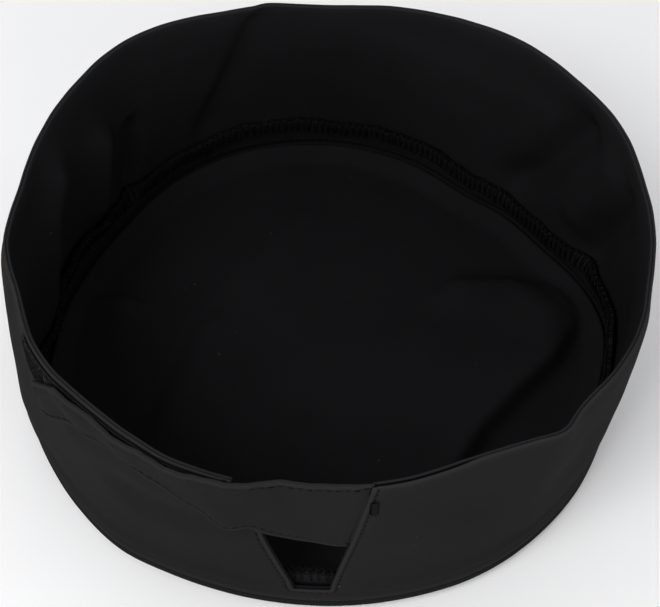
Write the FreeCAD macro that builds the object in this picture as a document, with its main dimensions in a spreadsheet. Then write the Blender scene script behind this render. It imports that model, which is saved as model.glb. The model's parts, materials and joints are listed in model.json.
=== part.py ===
"""Low pillbox chef's hat with an adjustable back, resting on its crown with the head opening up.

Millimetres. The origin is the centre of the crown's outer face, +Z points out of the head opening
and -Y points to the back notch, which lies evenly about the X = 0 plane.
"""
import FreeCAD, Part
import os
import re
import Sketcher
from FreeCAD import Rotation, Vector

DIMENSIONS = [
    ("head_radius", 92.6, "inner face of the lining: a head 58 cm round"),
    ("rim_height", 75, "outer face of the crown to the rim"),
    ("twill", 0.6, "one ply of twill"),
    ("thread", 0.25, "how far a line of sewing thread stands off the cloth"),
    ("stitch_width", 0.6, "width of a line of stitching"),
    ("rim_hem", 9, "each band ply turned down inside the rim"),
    ("seam_height", 6, "crown seam above the crown's flat face, and the bend of the crown's edge"),
    ("seam_bulge", 1.0, "how far the seam allowances push the band outward at the seam"),
    ("bulge_top", 16.2, "where the band is back at its own radius"),
    ("allowance_top", 15.5, "raw edge of the turned-up seam allowances"),
    ("allowance_lean", 1.5, "how far that edge leans in from the seam"),
    ("overlock_inside", 5, "depth of the serging on the crown's allowance"),
    ("overlock_outside", 3, "depth of the serging behind the allowances"),
    ("notch_rim_half", 17.5, "half of the notch's width at the rim"),
    ("notch_floor_half", 5, "half of its width where the rounded floor starts"),
    ("notch_floor", 21.5, "height where the rounded floor starts"),
    ("notch_floor_bend", 23.5, "height of the floor arc's centre"),
    ("notch_stitch_inset", 1.4, "edge of the notch to its topstitching"),
    ("facing_turn", 16, "angle covered by the facings turned in left of the notch"),
    ("root_turn", 17, "angle covered by the tab's root between the plies"),
    ("root_low", 44, "lower end of that root"),
    ("root_high", 65, "upper end of that root"),
    ("bartack_turn", 13.2, "angle from the notch's middle to the bartack"),
    ("bartack_arc", 1.5, "angle covered by the bartack"),
    ("bartack_low", 60, "lower end of the bartack"),
    ("bartack_high", 69, "upper end of the bartack"),
    ("tab_gap", 0.4, "play between the tab and the notch's right edge"),
    ("tab_radius", 87.45, "inner face of the tab about its own centre"),
    ("tab_offset", 10.2, "tab's centre to the hat's centre"),
    ("tab_offset_azimuth", -133, "direction of that offset"),
    ("tab_turn", -20, "middle of the tab, measured from -Y"),
    ("tab_sweep", 110, "angle swept before the tab is trimmed to its outline"),
    ("tab_root_top", 74.4, "tab's top edge at its root"),
    ("tab_root_low", 40.5, "tab's lower edge at its root"),
    ("tab_knee", -13, "where the lower edge stops rising, across the tab"),
    ("tab_tip", 50.5, "middle of the tab to its tip"),
    ("tab_tip_low", 57, "tab's lower edge at its tip"),
    ("tab_tip_top", 72.8, "tab's top edge at its tip"),
    ("tab_hem", 2, "turned edge round the tab's interlining"),
    ("tab_stitch_inset", 1.5, "tab's edge to its topstitching"),
    ("tape", 0.5, "ground of each fastener tape, and its pile"),
    ("selvage", 1.6, "flat border of a tape, where it is sewn on"),
    ("hook_turn", -43, "middle of the hook tape, measured from -Y"),
    ("hook_arc", 22, "angle covered by the hook tape"),
    ("hook_low", 58.5, "lower edge of the hook tape"),
    ("hook_high", 71, "upper edge of the hook tape"),
    ("loop_turn", -54, "middle of the loop tape, measured from -Y"),
    ("loop_arc", 44, "angle covered by the loop tape"),
    ("loop_low", 56.5, "lower edge of the loop tape"),
    ("loop_high", 73, "upper edge of the loop tape"),
    ("clear_of", 30, "how far a cutting outline runs past what it cuts"),
]

document = FreeCAD.newDocument("ChefHat")
sheet = document.addObject("Spreadsheet::Sheet", "Dimensions")
for row, (name, size, meaning) in enumerate(DIMENSIONS, start=1):
    sheet.set(f"A{row}", meaning)
    sheet.set(f"B{row}", str(size))
    sheet.setAlias(f"B{row}", name)
document.recompute()

ALIASES = re.compile(r"\b(" + "|".join(name for name, _, _ in DIMENSIONS) + r")\b")

# Radii of the band's four layers, from the head outward: lining, its hem, the outer ply's hem, the outer ply.
# The interlining fills both hems' room below the rim hem.
LINING_OUT = "(head_radius + twill)"
HEM_OUT = "(head_radius + 2 * twill)"
OUTER_IN = "(head_radius + 3 * twill)"
HAT_RADIUS = "(head_radius + 4 * twill)"
HEM_LOW = "(rim_height - rim_hem)"
FOLD_CLEAR = "(seam_height + 2 * twill)"
# Outer faces of the three allowances at the crown seam, from the band inward.
LINING_ALLOWANCE = "(head_radius + seam_bulge)"
OUTER_ALLOWANCE = "(head_radius + seam_bulge - twill)"
CROWN_ALLOWANCE = "(head_radius + seam_bulge - 2 * twill)"
CROWN_INNER = "(head_radius + seam_bulge - 3 * twill)"
TAB_CENTRE = ("(tab_offset * cos(tab_offset_azimuth))", "(tab_offset * sin(tab_offset_azimuth))")


def sized(expression):
    """The expression with each dimension's name pointing at the spreadsheet."""
    return ALIASES.sub(r"Dimensions.\1", expression)


def number(expression):
    return float(sheet.evalExpression(sized(expression)))


def new_body(label, turn="0", centre=("0", "0")):
    """A sub-part whose own frame is turned about Z and moved to centre."""
    body = document.addObject("PartDesign::Body", label)
    body.Label = label
    body.Placement = FreeCAD.Placement(Vector(), Rotation(Vector(0, 0, 1), 1))
    body.setExpression("Placement.Rotation.Angle", sized(turn))
    body.setExpression("Placement.Base.x", sized(centre[0]))
    body.setExpression("Placement.Base.y", sized(centre[1]))
    return body


def arc_between(start, end, centre_height):
    """The short arc from start to end, or the lower half circle, round a centre of known height."""
    rise = (end.y - centre_height) ** 2 - (start.y - centre_height) ** 2
    across = (end.x ** 2 - start.x ** 2 + rise) / (2 * (end.x - start.x))
    centre = Vector(across, centre_height, 0)
    middle = (start - centre) + (end - centre)
    if middle.Length < 1e-6:
        middle = Vector(0, -1, 0)
    return Part.Arc(start, centre + middle.normalize() * (start - centre).Length, end)


def add_outline(sketch, corners):
    """A closed outline of (across, up) corners, or (across, up, centre height) where an arc leaves a corner."""
    points = [Vector(number(corner[0]), number(corner[1]), 0) for corner in corners]
    ends = []
    for index, corner in enumerate(corners):
        start = points[index]
        end = points[(index + 1) % len(points)]
        if len(corner) == 3:
            edge = sketch.addGeometry(arc_between(start, end, number(corner[2])), False)
        else:
            edge = sketch.addGeometry(Part.LineSegment(start, end), False)
        forward = sketch.getPoint(edge, 1).distanceToPoint(start) < 1e-6
        ends.append((edge, 1, 2) if forward else (edge, 2, 1))
    for index, (edge, _, last) in enumerate(ends):
        following, first, _ = ends[(index + 1) % len(ends)]
        sketch.addConstraint(Sketcher.Constraint("Coincident", edge, last, following, first))
    for index, (edge, first, _) in enumerate(ends):
        bind(sketch, "DistanceX", edge, first, corners[index][0])
        bind(sketch, "DistanceY", edge, first, corners[index][1])
        if len(corners[index]) == 3:
            bind(sketch, "DistanceY", edge, 3, corners[index][2])


def bind(sketch, kind, edge, point, expression):
    """Hold a point of an edge at an expression's distance from the sketch's origin."""
    held = sketch.addConstraint(Sketcher.Constraint(kind, -1, 1, edge, point, number(expression)))
    sketch.setExpression(f"Constraints[{held}]", sized(expression))


def new_sketch(body, plane, *outlines):
    """A sketch on one of the body's own planes. Across is +X on XZ_Plane and +Y on YZ_Plane; up is +Z."""
    sketch = body.newObject("Sketcher::SketchObject", f"{body.Name}_outline")
    origin_plane = [feature for feature in body.Origin.OriginFeatures if feature.Role == plane][0]
    sketch.AttachmentSupport = [(origin_plane, "")]
    sketch.MapMode = "FlatFace"
    for corners in outlines:
        add_outline(sketch, corners)
    document.recompute()
    return sketch


def turned(body, corners, kind="PartDesign::Revolution", angle="360", from_back=False, reverse=False):
    """Turn an outline about Z: a whole ring, an even sweep about -Y, or one side of -Y only."""
    sketch = new_sketch(body, "YZ_Plane", [(f"-({corner[0]})", *corner[1:]) for corner in corners])
    before = body.Shape.Volume if body.Tip else 0
    feature = body.newObject(kind, f"{body.Name}_turned")
    feature.Profile = sketch
    feature.ReferenceAxis = (sketch, ["V_Axis"])
    feature.setExpression("Angle", sized(angle))
    feature.Midplane = not from_back and angle != "360"
    feature.Reversed = reverse
    document.recompute()
    changed = body.Shape.Volume - before
    if (changed > 0) != (kind == "PartDesign::Revolution"):
        raise RuntimeError(f"{feature.Name} changed the volume by {changed}")
    return feature


def cut_back(body, *outlines):
    """Cut outlines, as seen from the back, through the -Y side of a body."""
    sketch = new_sketch(body, "XZ_Plane", *outlines)
    before = body.Shape.Volume
    pocket = body.newObject("PartDesign::Pocket", f"{body.Name}_cut")
    pocket.Profile = sketch
    pocket.Type = "ThroughAll"
    pocket.Reversed = True
    document.recompute()
    if body.Shape.Volume >= before:
        raise RuntimeError(f"{pocket.Name} cut nothing")
    return pocket


def box_outline(inner, outer, low, high):
    return [(inner, low), (outer, low), (outer, high), (inner, high)]


# ---- The notch and the tab as seen from the back

def notch_half_width(height):
    slope = "(notch_rim_half - notch_floor_half) / (rim_height - notch_floor)"
    return f"(notch_floor_half + ({height} - notch_floor) * {slope})"


def notch_outline(inset="0"):
    """The notch, run on past the rim, grown by inset all round."""
    top = "(rim_height + clear_of)"
    rim_half = f"({notch_half_width(top)} + {inset})"
    floor_half = f"(notch_floor_half + {inset})"
    return [
        (f"-{rim_half}", top),
        (f"-{floor_half}", "notch_floor", "notch_floor_bend"),
        (floor_half, "notch_floor"),
        (rim_half, top),
    ]


def tab_root_across(height):
    """Where the tab starts at this height, clear of the notch's edge from its inner face outward."""
    across = f"({notch_half_width(height)} - tab_gap)"
    back = f"(-sqrt(head_radius ^ 2 - {across} ^ 2))"
    along_x = f"({across} - {TAB_CENTRE[0]}) * cos(tab_turn)"
    along_y = f"({back} - {TAB_CENTRE[1]}) * sin(tab_turn)"
    return f"({along_x} + {along_y})"


def tab_outline(inset="0"):
    """The tab from the back in its own frame: root, tapered lower edge, straight tip."""
    return [
        (tab_root_across("tab_root_top"), f"(tab_root_top - {inset})"),
        (tab_root_across("tab_root_low"), f"(tab_root_low + {inset})"),
        ("tab_knee", f"(tab_tip_low + {inset})"),
        (f"({inset} - tab_tip)", f"(tab_tip_low + {inset})"),
        (f"({inset} - tab_tip)", f"(tab_tip_top - {inset})"),
    ]


def frame_outline():
    """An outline well outside the notch and the tab, so that what lies between it and another is cut."""
    reach = f"({HAT_RADIUS} + clear_of)"
    return box_outline(f"-{reach}", reach, "-clear_of", "(rim_height + 2 * clear_of)")


# ---- Crown and side band

def make_crown_panel():
    """The flat top, its edge turned up inside the band as a seam allowance."""
    body = new_body("crown_panel")
    bend_start = f"({CROWN_ALLOWANCE} - seam_height)"
    turned(body, [
        ("0", "0"),
        (bend_start, "0", "seam_height"),
        (CROWN_ALLOWANCE, "seam_height"),
        (f"({CROWN_ALLOWANCE} - allowance_lean)", "allowance_top"),
        (f"({CROWN_INNER} - allowance_lean)", "allowance_top"),
        (CROWN_INNER, "seam_height", "seam_height"),
        (bend_start, "twill"),
        ("0", "twill"),
    ])
    return body


def make_outer_band():
    """The outside ply: rim hem, wall, and a round turn at the crown seam up into its allowance."""
    body = new_body("outer_band")
    turned(body, [
        (HEM_OUT, "rim_height"),
        (HEM_OUT, HEM_LOW),
        (OUTER_IN, HEM_LOW),
        (OUTER_IN, "bulge_top"),
        (f"({OUTER_IN} + seam_bulge)", "seam_height", "seam_height"),
        (OUTER_ALLOWANCE, "seam_height"),
        (f"({OUTER_ALLOWANCE} - allowance_lean)", "allowance_top"),
        (f"({CROWN_ALLOWANCE} - allowance_lean)", "allowance_top"),
        (CROWN_ALLOWANCE, "seam_height", "seam_height"),
        (f"({HAT_RADIUS} + seam_bulge)", "seam_height"),
        (HAT_RADIUS, "bulge_top"),
        (HAT_RADIUS, "rim_height"),
    ])
    facing = box_outline(HEM_OUT, OUTER_IN, "bulge_top", HEM_LOW)
    turned(body, facing, angle="facing_turn", from_back=True, reverse=True)
    cut_back(body, notch_outline())
    return body


def make_band_lining():
    """The inside ply, made like the outer one and nested in its turn at the crown seam."""
    body = new_body("band_lining")
    turned(body, [
        ("head_radius", "rim_height"),
        ("head_radius", "bulge_top"),
        (LINING_ALLOWANCE, "seam_height"),
        (f"({LINING_ALLOWANCE} - allowance_lean)", "allowance_top"),
        (f"({OUTER_ALLOWANCE} - allowance_lean)", "allowance_top"),
        (OUTER_ALLOWANCE, "seam_height", "seam_height"),
        (f"({LINING_OUT} + seam_bulge)", "seam_height"),
        (LINING_OUT, "bulge_top"),
        (LINING_OUT, HEM_LOW),
        (HEM_OUT, HEM_LOW),
        (HEM_OUT, "rim_height"),
    ])
    facing = box_outline(LINING_OUT, HEM_OUT, "bulge_top", HEM_LOW)
    turned(body, facing, angle="facing_turn", from_back=True, reverse=True)
    cut_back(body, notch_outline())
    return body


def make_band_interlining():
    """The stiffener between the plies, cut away for the facings, the notch and the tab's root."""
    body = new_body("band_interlining")
    flare = f"seam_bulge * (bulge_top - {FOLD_CLEAR}) / (bulge_top - seam_height)"
    turned(body, [
        (LINING_OUT, HEM_LOW),
        (LINING_OUT, "bulge_top"),
        (f"({LINING_OUT} + {flare})", FOLD_CLEAR),
        (f"({OUTER_IN} + {flare})", FOLD_CLEAR),
        (OUTER_IN, "bulge_top"),
        (OUTER_IN, HEM_LOW),
    ])
    facings = box_outline(LINING_OUT, OUTER_IN, "bulge_top", HEM_LOW)
    turned(body, facings, "PartDesign::Groove", "facing_turn", from_back=True, reverse=True)
    cut_back(body, notch_outline())
    turned(body, tab_root_section(), "PartDesign::Groove", "root_turn", from_back=True)
    return body


def make_crown_seam_thread():
    """The line of lockstitch at the foot of the allowances."""
    body = new_body("crown_seam_thread")
    face = f"({CROWN_INNER} - allowance_lean / 10)"
    low = "(seam_height + stitch_width / 2)"
    turned(body, box_outline(f"({face} - thread)", face, low, f"({low} + stitch_width)"))
    return body


def make_crown_overlock_thread():
    """The serging wrapped over the raw edges of the three allowances."""
    body = new_body("crown_overlock_thread")

    def leaning(face, height):
        return f"({face} - allowance_lean * ({height} - seam_height) / (allowance_top - seam_height))"

    inside_low = "(allowance_top - overlock_inside)"
    outside_low = "(allowance_top - overlock_outside)"
    top = "(allowance_top + thread)"
    turned(body, [
        (leaning(CROWN_INNER, "allowance_top"), "allowance_top"),
        (leaning(CROWN_INNER, inside_low), inside_low),
        (f"({leaning(CROWN_INNER, inside_low)} - thread)", inside_low),
        (f"({leaning(CROWN_INNER, 'allowance_top')} - thread)", top),
        (f"({leaning(LINING_ALLOWANCE, 'allowance_top')} + thread)", top),
        (f"({leaning(LINING_ALLOWANCE, outside_low)} + thread)", outside_low),
        (leaning(LINING_ALLOWANCE, outside_low), outside_low),
        (leaning(LINING_ALLOWANCE, "allowance_top"), "allowance_top"),
    ])
    return body


# ---- Back notch

def make_notch_topstitch():
    """One line of edge stitching down, round and up the notch, on the outside."""
    body = new_body("notch_topstitch")
    strip = box_outline(HAT_RADIUS, f"({HAT_RADIUS} + thread)", "bulge_top", "rim_height")
    turned(body, strip, angle="(2 * root_turn)")
    cut_back(body, frame_outline(), notch_outline("(notch_stitch_inset + stitch_width)"))
    cut_back(body, notch_outline("notch_stitch_inset"))
    return body


def tab_root_section():
    return box_outline(LINING_OUT, OUTER_IN, "root_low", "root_high")


def make_tab_root():
    """The tab's own end, held between the band's plies right of the notch."""
    body = new_body("tab_root")
    turned(body, tab_root_section(), angle="root_turn", from_back=True)
    cut_back(body, notch_outline())
    return body


def make_tab_root_bartack():
    """A short dense bar of thread that locks the tab's root."""
    body = new_body("tab_root_bartack", "bartack_turn")
    bar = box_outline(HAT_RADIUS, f"({HAT_RADIUS} + thread)", "bartack_low", "bartack_high")
    turned(body, bar, angle="bartack_arc")
    return body


# ---- Adjuster tab

def tab_body(label):
    return new_body(label, "tab_turn", TAB_CENTRE)


def tab_layer(body, layer, depth="twill"):
    """Sweep a layer of the tab, counted in plies from its inner face, before it is trimmed."""
    inner = f"(tab_radius + {layer} * twill)"
    section = box_outline(inner, f"({inner} + {depth})", "(tab_root_low - twill)", "rim_height")
    turned(body, section, angle="tab_sweep")


def make_tab_outer_ply():
    body = tab_body("tab_outer_ply")
    tab_layer(body, 2)
    cut_back(body, frame_outline(), tab_outline())
    return body


def make_tab_interlining():
    """The tab's stiffener, which stops short of the turned edge."""
    body = tab_body("tab_interlining")
    tab_layer(body, 1)
    cut_back(body, frame_outline(), tab_outline("tab_hem"))
    return body


def make_tab_inner_ply():
    """The tab's inside ply with its edge turned up round the interlining."""
    body = tab_body("tab_inner_ply")
    tab_layer(body, 1)
    cut_back(body, tab_outline("tab_hem"))
    tab_layer(body, 0)
    cut_back(body, frame_outline(), tab_outline())
    return body


def make_tab_topstitch():
    body = tab_body("tab_topstitch")
    tab_layer(body, 3, "thread")
    cut_back(body, frame_outline(), tab_outline("tab_stitch_inset"))
    cut_back(body, tab_outline("(tab_stitch_inset + stitch_width)"))
    return body


# ---- Hook-and-loop fastener

HOOK_TAPE = {
    "turn": "hook_turn",
    "centre": TAB_CENTRE,
    "sewn_face": "tab_radius",
    "away": "-1",
    "arc": "hook_arc",
    "low": "hook_low",
    "high": "hook_high",
}
LOOP_TAPE = {
    "turn": "loop_turn",
    "centre": ("0", "0"),
    "sewn_face": HAT_RADIUS,
    "away": "1",
    "arc": "loop_arc",
    "low": "loop_low",
    "high": "loop_high",
}


def turn_tape_layer(body, tape, near, far, inset="0", kind="PartDesign::Revolution"):
    """Turn one layer of a tape, between two distances from its sewn face, inset from the tape's edges."""
    section = box_outline(
        f"({tape['sewn_face']} + {tape['away']} * {near})",
        f"({tape['sewn_face']} + {tape['away']} * {far})",
        f"({tape['low']} + {inset})",
        f"({tape['high']} - {inset})",
    )
    sweep = f"({tape['arc']} - 2 * {inset} * 180 / (pi * {tape['sewn_face']}))"
    turned(body, section, kind, sweep)


def make_tape(label, tape):
    """A fastener tape: a thin ground with flat borders and a raised field of hooks or loops."""
    body = new_body(label, tape["turn"], tape["centre"])
    turn_tape_layer(body, tape, "0", "tape")
    turn_tape_layer(body, tape, "tape", "(2 * tape)", "selvage")
    return body


def make_tape_stitch(label, tape):
    """The line of stitching round a tape's flat border."""
    body = new_body(label, tape["turn"], tape["centre"])
    outer_edge = "((selvage - stitch_width) / 2)"
    inner_edge = "((selvage + stitch_width) / 2)"
    turn_tape_layer(body, tape, "tape", "(tape + thread)", outer_edge)
    turn_tape_layer(body, tape, "tape", "(tape + thread)", inner_edge, "PartDesign::Groove")
    return body


SUB_PARTS = [
    make_crown_panel(),
    make_outer_band(),
    make_band_lining(),
    make_band_interlining(),
    make_crown_seam_thread(),
    make_crown_overlock_thread(),
    make_notch_topstitch(),
    make_tab_root(),
    make_tab_root_bartack(),
    make_tab_outer_ply(),
    make_tab_interlining(),
    make_tab_inner_ply(),
    make_tab_topstitch(),
    make_tape("hook_tape", HOOK_TAPE),
    make_tape_stitch("hook_tape_stitch", HOOK_TAPE),
    make_tape("loop_tape", LOOP_TAPE),
    make_tape_stitch("loop_tape_stitch", LOOP_TAPE),
]

document.recompute()
for item in document.Objects:
    if "Invalid" in item.State or "Error" in item.State:
        raise RuntimeError(f"{item.Label} did not recompute: {item.State}")
for body in SUB_PARTS:
    if body.Shape.isNull() or not body.Shape.isValid():
        raise RuntimeError(f"{body.Label} has no valid shape")

os.makedirs("parts", exist_ok=True)
for body in SUB_PARTS:
    body.Shape.exportStep(f"parts/{body.Label}.step")
    print(f"{body.Label}: {len(body.Shape.Solids)} solid, {body.Shape.Volume:.1f} mm3")
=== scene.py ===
"""The chef's hat as it looks: black twill pushed out of round, resting on its crown with the head opening up.

Lengths are millimetres until a mesh is made, azimuths are degrees from +X, and the back notch is at -Y.
Every cloth piece is laid out on the one side wall, so that the plies, threads and tapes stay together.
"""

import json
import math

import bmesh
import bpy
import numpy as np
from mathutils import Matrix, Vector


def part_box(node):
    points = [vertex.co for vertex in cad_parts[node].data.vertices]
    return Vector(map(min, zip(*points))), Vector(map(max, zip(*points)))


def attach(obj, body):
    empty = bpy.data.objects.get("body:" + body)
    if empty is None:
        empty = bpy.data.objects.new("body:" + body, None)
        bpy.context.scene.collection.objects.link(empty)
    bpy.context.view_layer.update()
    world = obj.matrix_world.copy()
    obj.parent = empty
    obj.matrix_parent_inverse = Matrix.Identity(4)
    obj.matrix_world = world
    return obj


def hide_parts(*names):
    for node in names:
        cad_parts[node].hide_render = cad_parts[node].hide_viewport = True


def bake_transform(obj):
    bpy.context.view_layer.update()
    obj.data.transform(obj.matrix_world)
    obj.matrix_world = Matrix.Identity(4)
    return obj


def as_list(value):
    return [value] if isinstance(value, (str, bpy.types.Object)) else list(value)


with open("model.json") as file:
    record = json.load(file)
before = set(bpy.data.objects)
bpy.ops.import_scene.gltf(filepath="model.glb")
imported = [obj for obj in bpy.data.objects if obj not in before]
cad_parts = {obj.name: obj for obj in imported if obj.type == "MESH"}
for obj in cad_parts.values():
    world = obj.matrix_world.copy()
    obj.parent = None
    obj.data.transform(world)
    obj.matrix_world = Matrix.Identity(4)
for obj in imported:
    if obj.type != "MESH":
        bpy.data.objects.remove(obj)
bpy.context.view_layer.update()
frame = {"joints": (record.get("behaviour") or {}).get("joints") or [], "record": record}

MM = 0.001


def cad_range(node):
    """The lowest and highest point of a CAD node, in millimetres."""
    low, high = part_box(node)
    return low.z / MM, high.z / MM


# ---- Driving dimensions

HEAD_RADIUS = next(m for m in frame["record"]["mounts"] if m["name"] == "head_opening")["dims"]["r_mm"]
PLY = 0.6  # one ply of twill
WALL = 4 * PLY  # the two plies and their hems, from the outside face to the head
HAT_RADIUS = HEAD_RADIUS + WALL
RIM_HEIGHT = cad_range("outer_band")[1]
HEM_LOW = cad_range("band_interlining")[1]  # lower edge of the hems inside the rim
ALLOWANCE_TOP = cad_range("crown_panel")[1]  # raw edge of the seam allowances
ROOT_LOW, ROOT_HIGH = cad_range("tab_root")
BARTACK_LOW, BARTACK_HIGH = cad_range("tab_root_bartack")
LOOP_LOW, LOOP_HIGH = cad_range("loop_tape")

TURN_HEIGHT = 7.2  # where the plies start their turn at the crown seam
TURN_DROP = 1.8  # how far that turn hangs below
SEAM_PUSH = 0.6  # how far the turn stands out from the wall
ALLOWANCE_FACE = -WALL - 3 * PLY - 0.05  # inside face of the crown's allowance, from the wall's outside face
ALLOWANCE_LEAN = 1.3  # how far the raw edges lean in
MID_WALL = -WALL / 2
NOTCH_FLOOR = 12.2
NOTCH_RIGHT = (5.9, 16.8)  # the notch's middle to its right edge, at the floor and at the rim
NOTCH_LEFT = (4.6, 19.0)
NOTCH_BOW = 0.4  # how far its edges bow out between floor and rim
STITCH_INSET = 1.7  # folded edge to the middle of its topstitching
STITCH_PITCH = 2.4
STITCH_SHARE = 0.76  # how much of its pitch a stitch shows
FACING = 12  # width of the facings turned in at the notch
ROOT_DEPTH = 26  # how far the tab's root reaches in between the plies
ROOT_BELOW, ROOT_ABOVE = 2, 6  # how far the cloth root reaches past the CAD's
TAB_HALF = 0.75  # half of the tab's thickness
TAPE_GROUND = 0.35
PILE = 0.55
THREAD = 0.2  # radius of the sewing thread
GAP = 0.05  # between the crown's cloth and what lies on it
CALM_TOP = 26  # the wall's folds have their full depth above this height
LIFT_LOW = 25  # the rim's rise and fall starts at this height
MM_PER_DEGREE = math.radians(1) * HAT_RADIUS

# The wall's outside face, pushed out of round: (azimuth, radius) at the crown seam and at the rim.
SEAM_SHAPE = [
    (-175, 99.0), (-162, 100.0), (-149, 99.2), (-137, 98.6), (-126, 98.2), (-116, 95.8), (-106, 94.3),
    (-91, 93.4), (-76, 93.5), (-60, 94.6), (-46, 94.6), (-34, 94.3), (-20, 93.8), (-5, 96.0), (8, 98.4),
    (18, 96.6), (32, 91.6), (46, 90.5), (58, 89.0), (74, 94.0), (86, 97.0), (98, 99.2), (112, 100.2),
    (124, 100.0), (136, 98.4), (148, 96.0), (164, 96.2),
]
RIM_SHAPE = [
    (-166, 94.8), (-155, 94.8), (-145, 96.1), (-129, 95.5), (-119, 96.0), (-110, 96.8), (-100, 96.4),
    (-85, 95.2), (-72, 95.4), (-61, 95.0), (-53, 97.0), (-47.8, 98.6), (-42, 97.6), (-33, 97.4),
    (-20, 95.8), (-5, 95.2), (9, 95.0), (23, 96.2), (36, 96.1), (49, 96.0), (61, 94.7), (72, 93.3),
    (83, 92.0), (94, 91.5), (105, 93.2), (116, 94.2), (127, 97.5), (139, 99.0), (152, 97.3), (165, 94.9),
    (179, 93.9),
]
RIM_LIFT = [
    (-160, 0.4), (-120, 0.1), (-85, 0.0), (-60, 0.4), (-48, -0.7), (-34, 0.5), (10, 0.0), (60, 0.6),
    (94, -0.2), (130, 0.5), (165, 0.0),
]
# Height of the raw edges round the crown seam.
EDGE_HEIGHT = [
    (-150, 15.5), (-90, 15.5), (-30, 15.0), (0, 15.5), (20, 16.2), (33, 13.2), (46, 14.0), (63, 16.0),
    (78, 17.6), (94, 17.0), (110, 18.0), (125, 16.4), (142, 15.8), (154, 17.6), (166, 21.0), (178, 18.5),
]
# Creases and bulges of the wall: (azimuth, height) along each, push outward, and the widths on its left
# and right.
WALL_FOLDS = [
    ([(168, 58), (174, 50), (178, 38), (181, 27), (184, 17)], -6.0, 8.0, 9.0),
    ([(140, 40), (142, 27), (145, 14)], 4.6, 2.6, 3.8),
    ([(149, 46), (151, 36), (154, 24)], -5.2, 8.0, 4.8),
    ([(32, 60), (36, 47), (40.5, 31), (46, 19)], 5.2, 7.0, 6.0),
    ([(11, 58), (14, 47), (18, 33), (21, 18)], 4.0, 5.5, 5.5),
    ([(21, 58), (23, 46), (27, 30)], -2.8, 7.0, 7.0),
    ([(110.5, 68), (113, 59), (117, 42), (122, 25)], 1.7, 3.0, 10.0),
    ([(80, 66), (58, 60), (40, 62)], 0.7, 5.0, 9.0),
    ([(-48, 80), (-47, 66), (-43, 52)], 0.9, 4.0, 6.0),
    ([(-108, 66), (-121, 63), (-133, 61)], -1.7, 8.0, 8.0),
    ([(-101, 50), (-110, 44), (-122, 42)], -2.4, 5.0, 8.0),
    ([(-168, 62), (-160, 56), (-157, 38), (-156, 18)], 2.8, 13.0, 13.0),
    ([(-22, 66), (-25, 44), (-28, 28)], 1.7, 14.0, 14.0),
    ([(-70, 62), (-64, 44), (-66, 26)], -0.6, 7.0, 9.0),
]
# Ridges of the crown inside the hat: (x, y) along each, height, width on its left and on its right.
CROWN_FOLDS = [
    ([(81, 14), (74, 0), (62, -14), (50, -29), (42, -44)], 7.2, 3.6, 12.0),
    ([(46, 28), (62, 29), (82, 27)], 3.8, 6.0, 11.0),
    ([(-92, 14), (-84, 15.5), (-74, 16)], 3.0, 2.6, 8.0),
    ([(-41, 4), (-45, -9), (-51, -29), (-53, -42)], 1.5, 12.0, 3.0),
    ([(-20, -4), (10, -2), (30, 2)], 2.4, 34.0, 30.0),
    ([(-20, -62), (10, -66), (34, -60)], 1.6, 16.0, 16.0),
    ([(-42, 8), (-30, 30), (-12, 52)], 2.4, 13.0, 24.0),
]


# ---- Curves and folds

def eased(low, high, value):
    """0 before low, 1 past high, and a smooth rise between."""
    share = np.clip((value - low) / (high - low), 0, 1)
    return share * share * (3 - 2 * share)


def swell(value, middle, width):
    """1 at the middle, falling smoothly to nothing about two widths away."""
    return np.exp(-(((value - middle) / width) ** 2))


def closed_curve(points, azimuth):
    """The smooth closed curve through (azimuth, value) points."""
    ordered = sorted((at % 360, value) for at, value in points)
    around = np.array(ordered[-2:] + ordered + ordered[:2], float)
    around[:2, 0] -= 360
    around[-2:, 0] += 360
    at, value = around.T
    slope = np.zeros(len(at))
    slope[1:-1] = (value[2:] - value[:-2]) / (at[2:] - at[:-2])
    turn = np.asarray(azimuth, float) % 360
    index = np.clip(np.searchsorted(at, turn, side="right") - 1, 1, len(at) - 3)
    span = at[index + 1] - at[index]
    share = (turn - at[index]) / span
    square, cube = share ** 2, share ** 3
    return (
        value[index] * (2 * cube - 3 * square + 1)
        + value[index + 1] * (3 * square - 2 * cube)
        + span * slope[index] * (cube - 2 * square + share)
        + span * slope[index + 1] * (cube - square)
    )


def fold(path, push, left, right, x, y):
    """A rounded ridge along a path, with its own width on each side."""
    nearest = np.full(np.shape(x), 1e9)
    signed = np.zeros(np.shape(x))
    for (start_x, start_y), (end_x, end_y) in zip(path, path[1:]):
        run_x, run_y = end_x - start_x, end_y - start_y
        length = math.hypot(run_x, run_y)
        share = np.clip(((x - start_x) * run_x + (y - start_y) * run_y) / length ** 2, 0, 1)
        off_x = x - start_x - share * run_x
        off_y = y - start_y - share * run_y
        distance = np.hypot(off_x, off_y)
        closer = distance < nearest
        nearest = np.where(closer, distance, nearest)
        signed = np.where(closer, (run_x * off_y - run_y * off_x) / length, signed)
    width = right + (left - right) * eased(-left, left, signed)
    return push * swell(nearest, 0, width)


def turned_by(azimuth, origin):
    """Azimuth from an origin, the short way round, as millimetres along the wall."""
    return ((azimuth - origin + 180) % 360 - 180) * MM_PER_DEGREE


def wall_folds(azimuth, height):
    """How far the listed folds push the wall outward."""
    push = 0
    for path, depth, left, right in WALL_FOLDS:
        origin = path[0][0]
        laid = [(turned_by(at, origin), up) for at, up in path]
        push = push + fold(laid, depth, left, right, turned_by(azimuth, origin), height)
    return push


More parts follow.
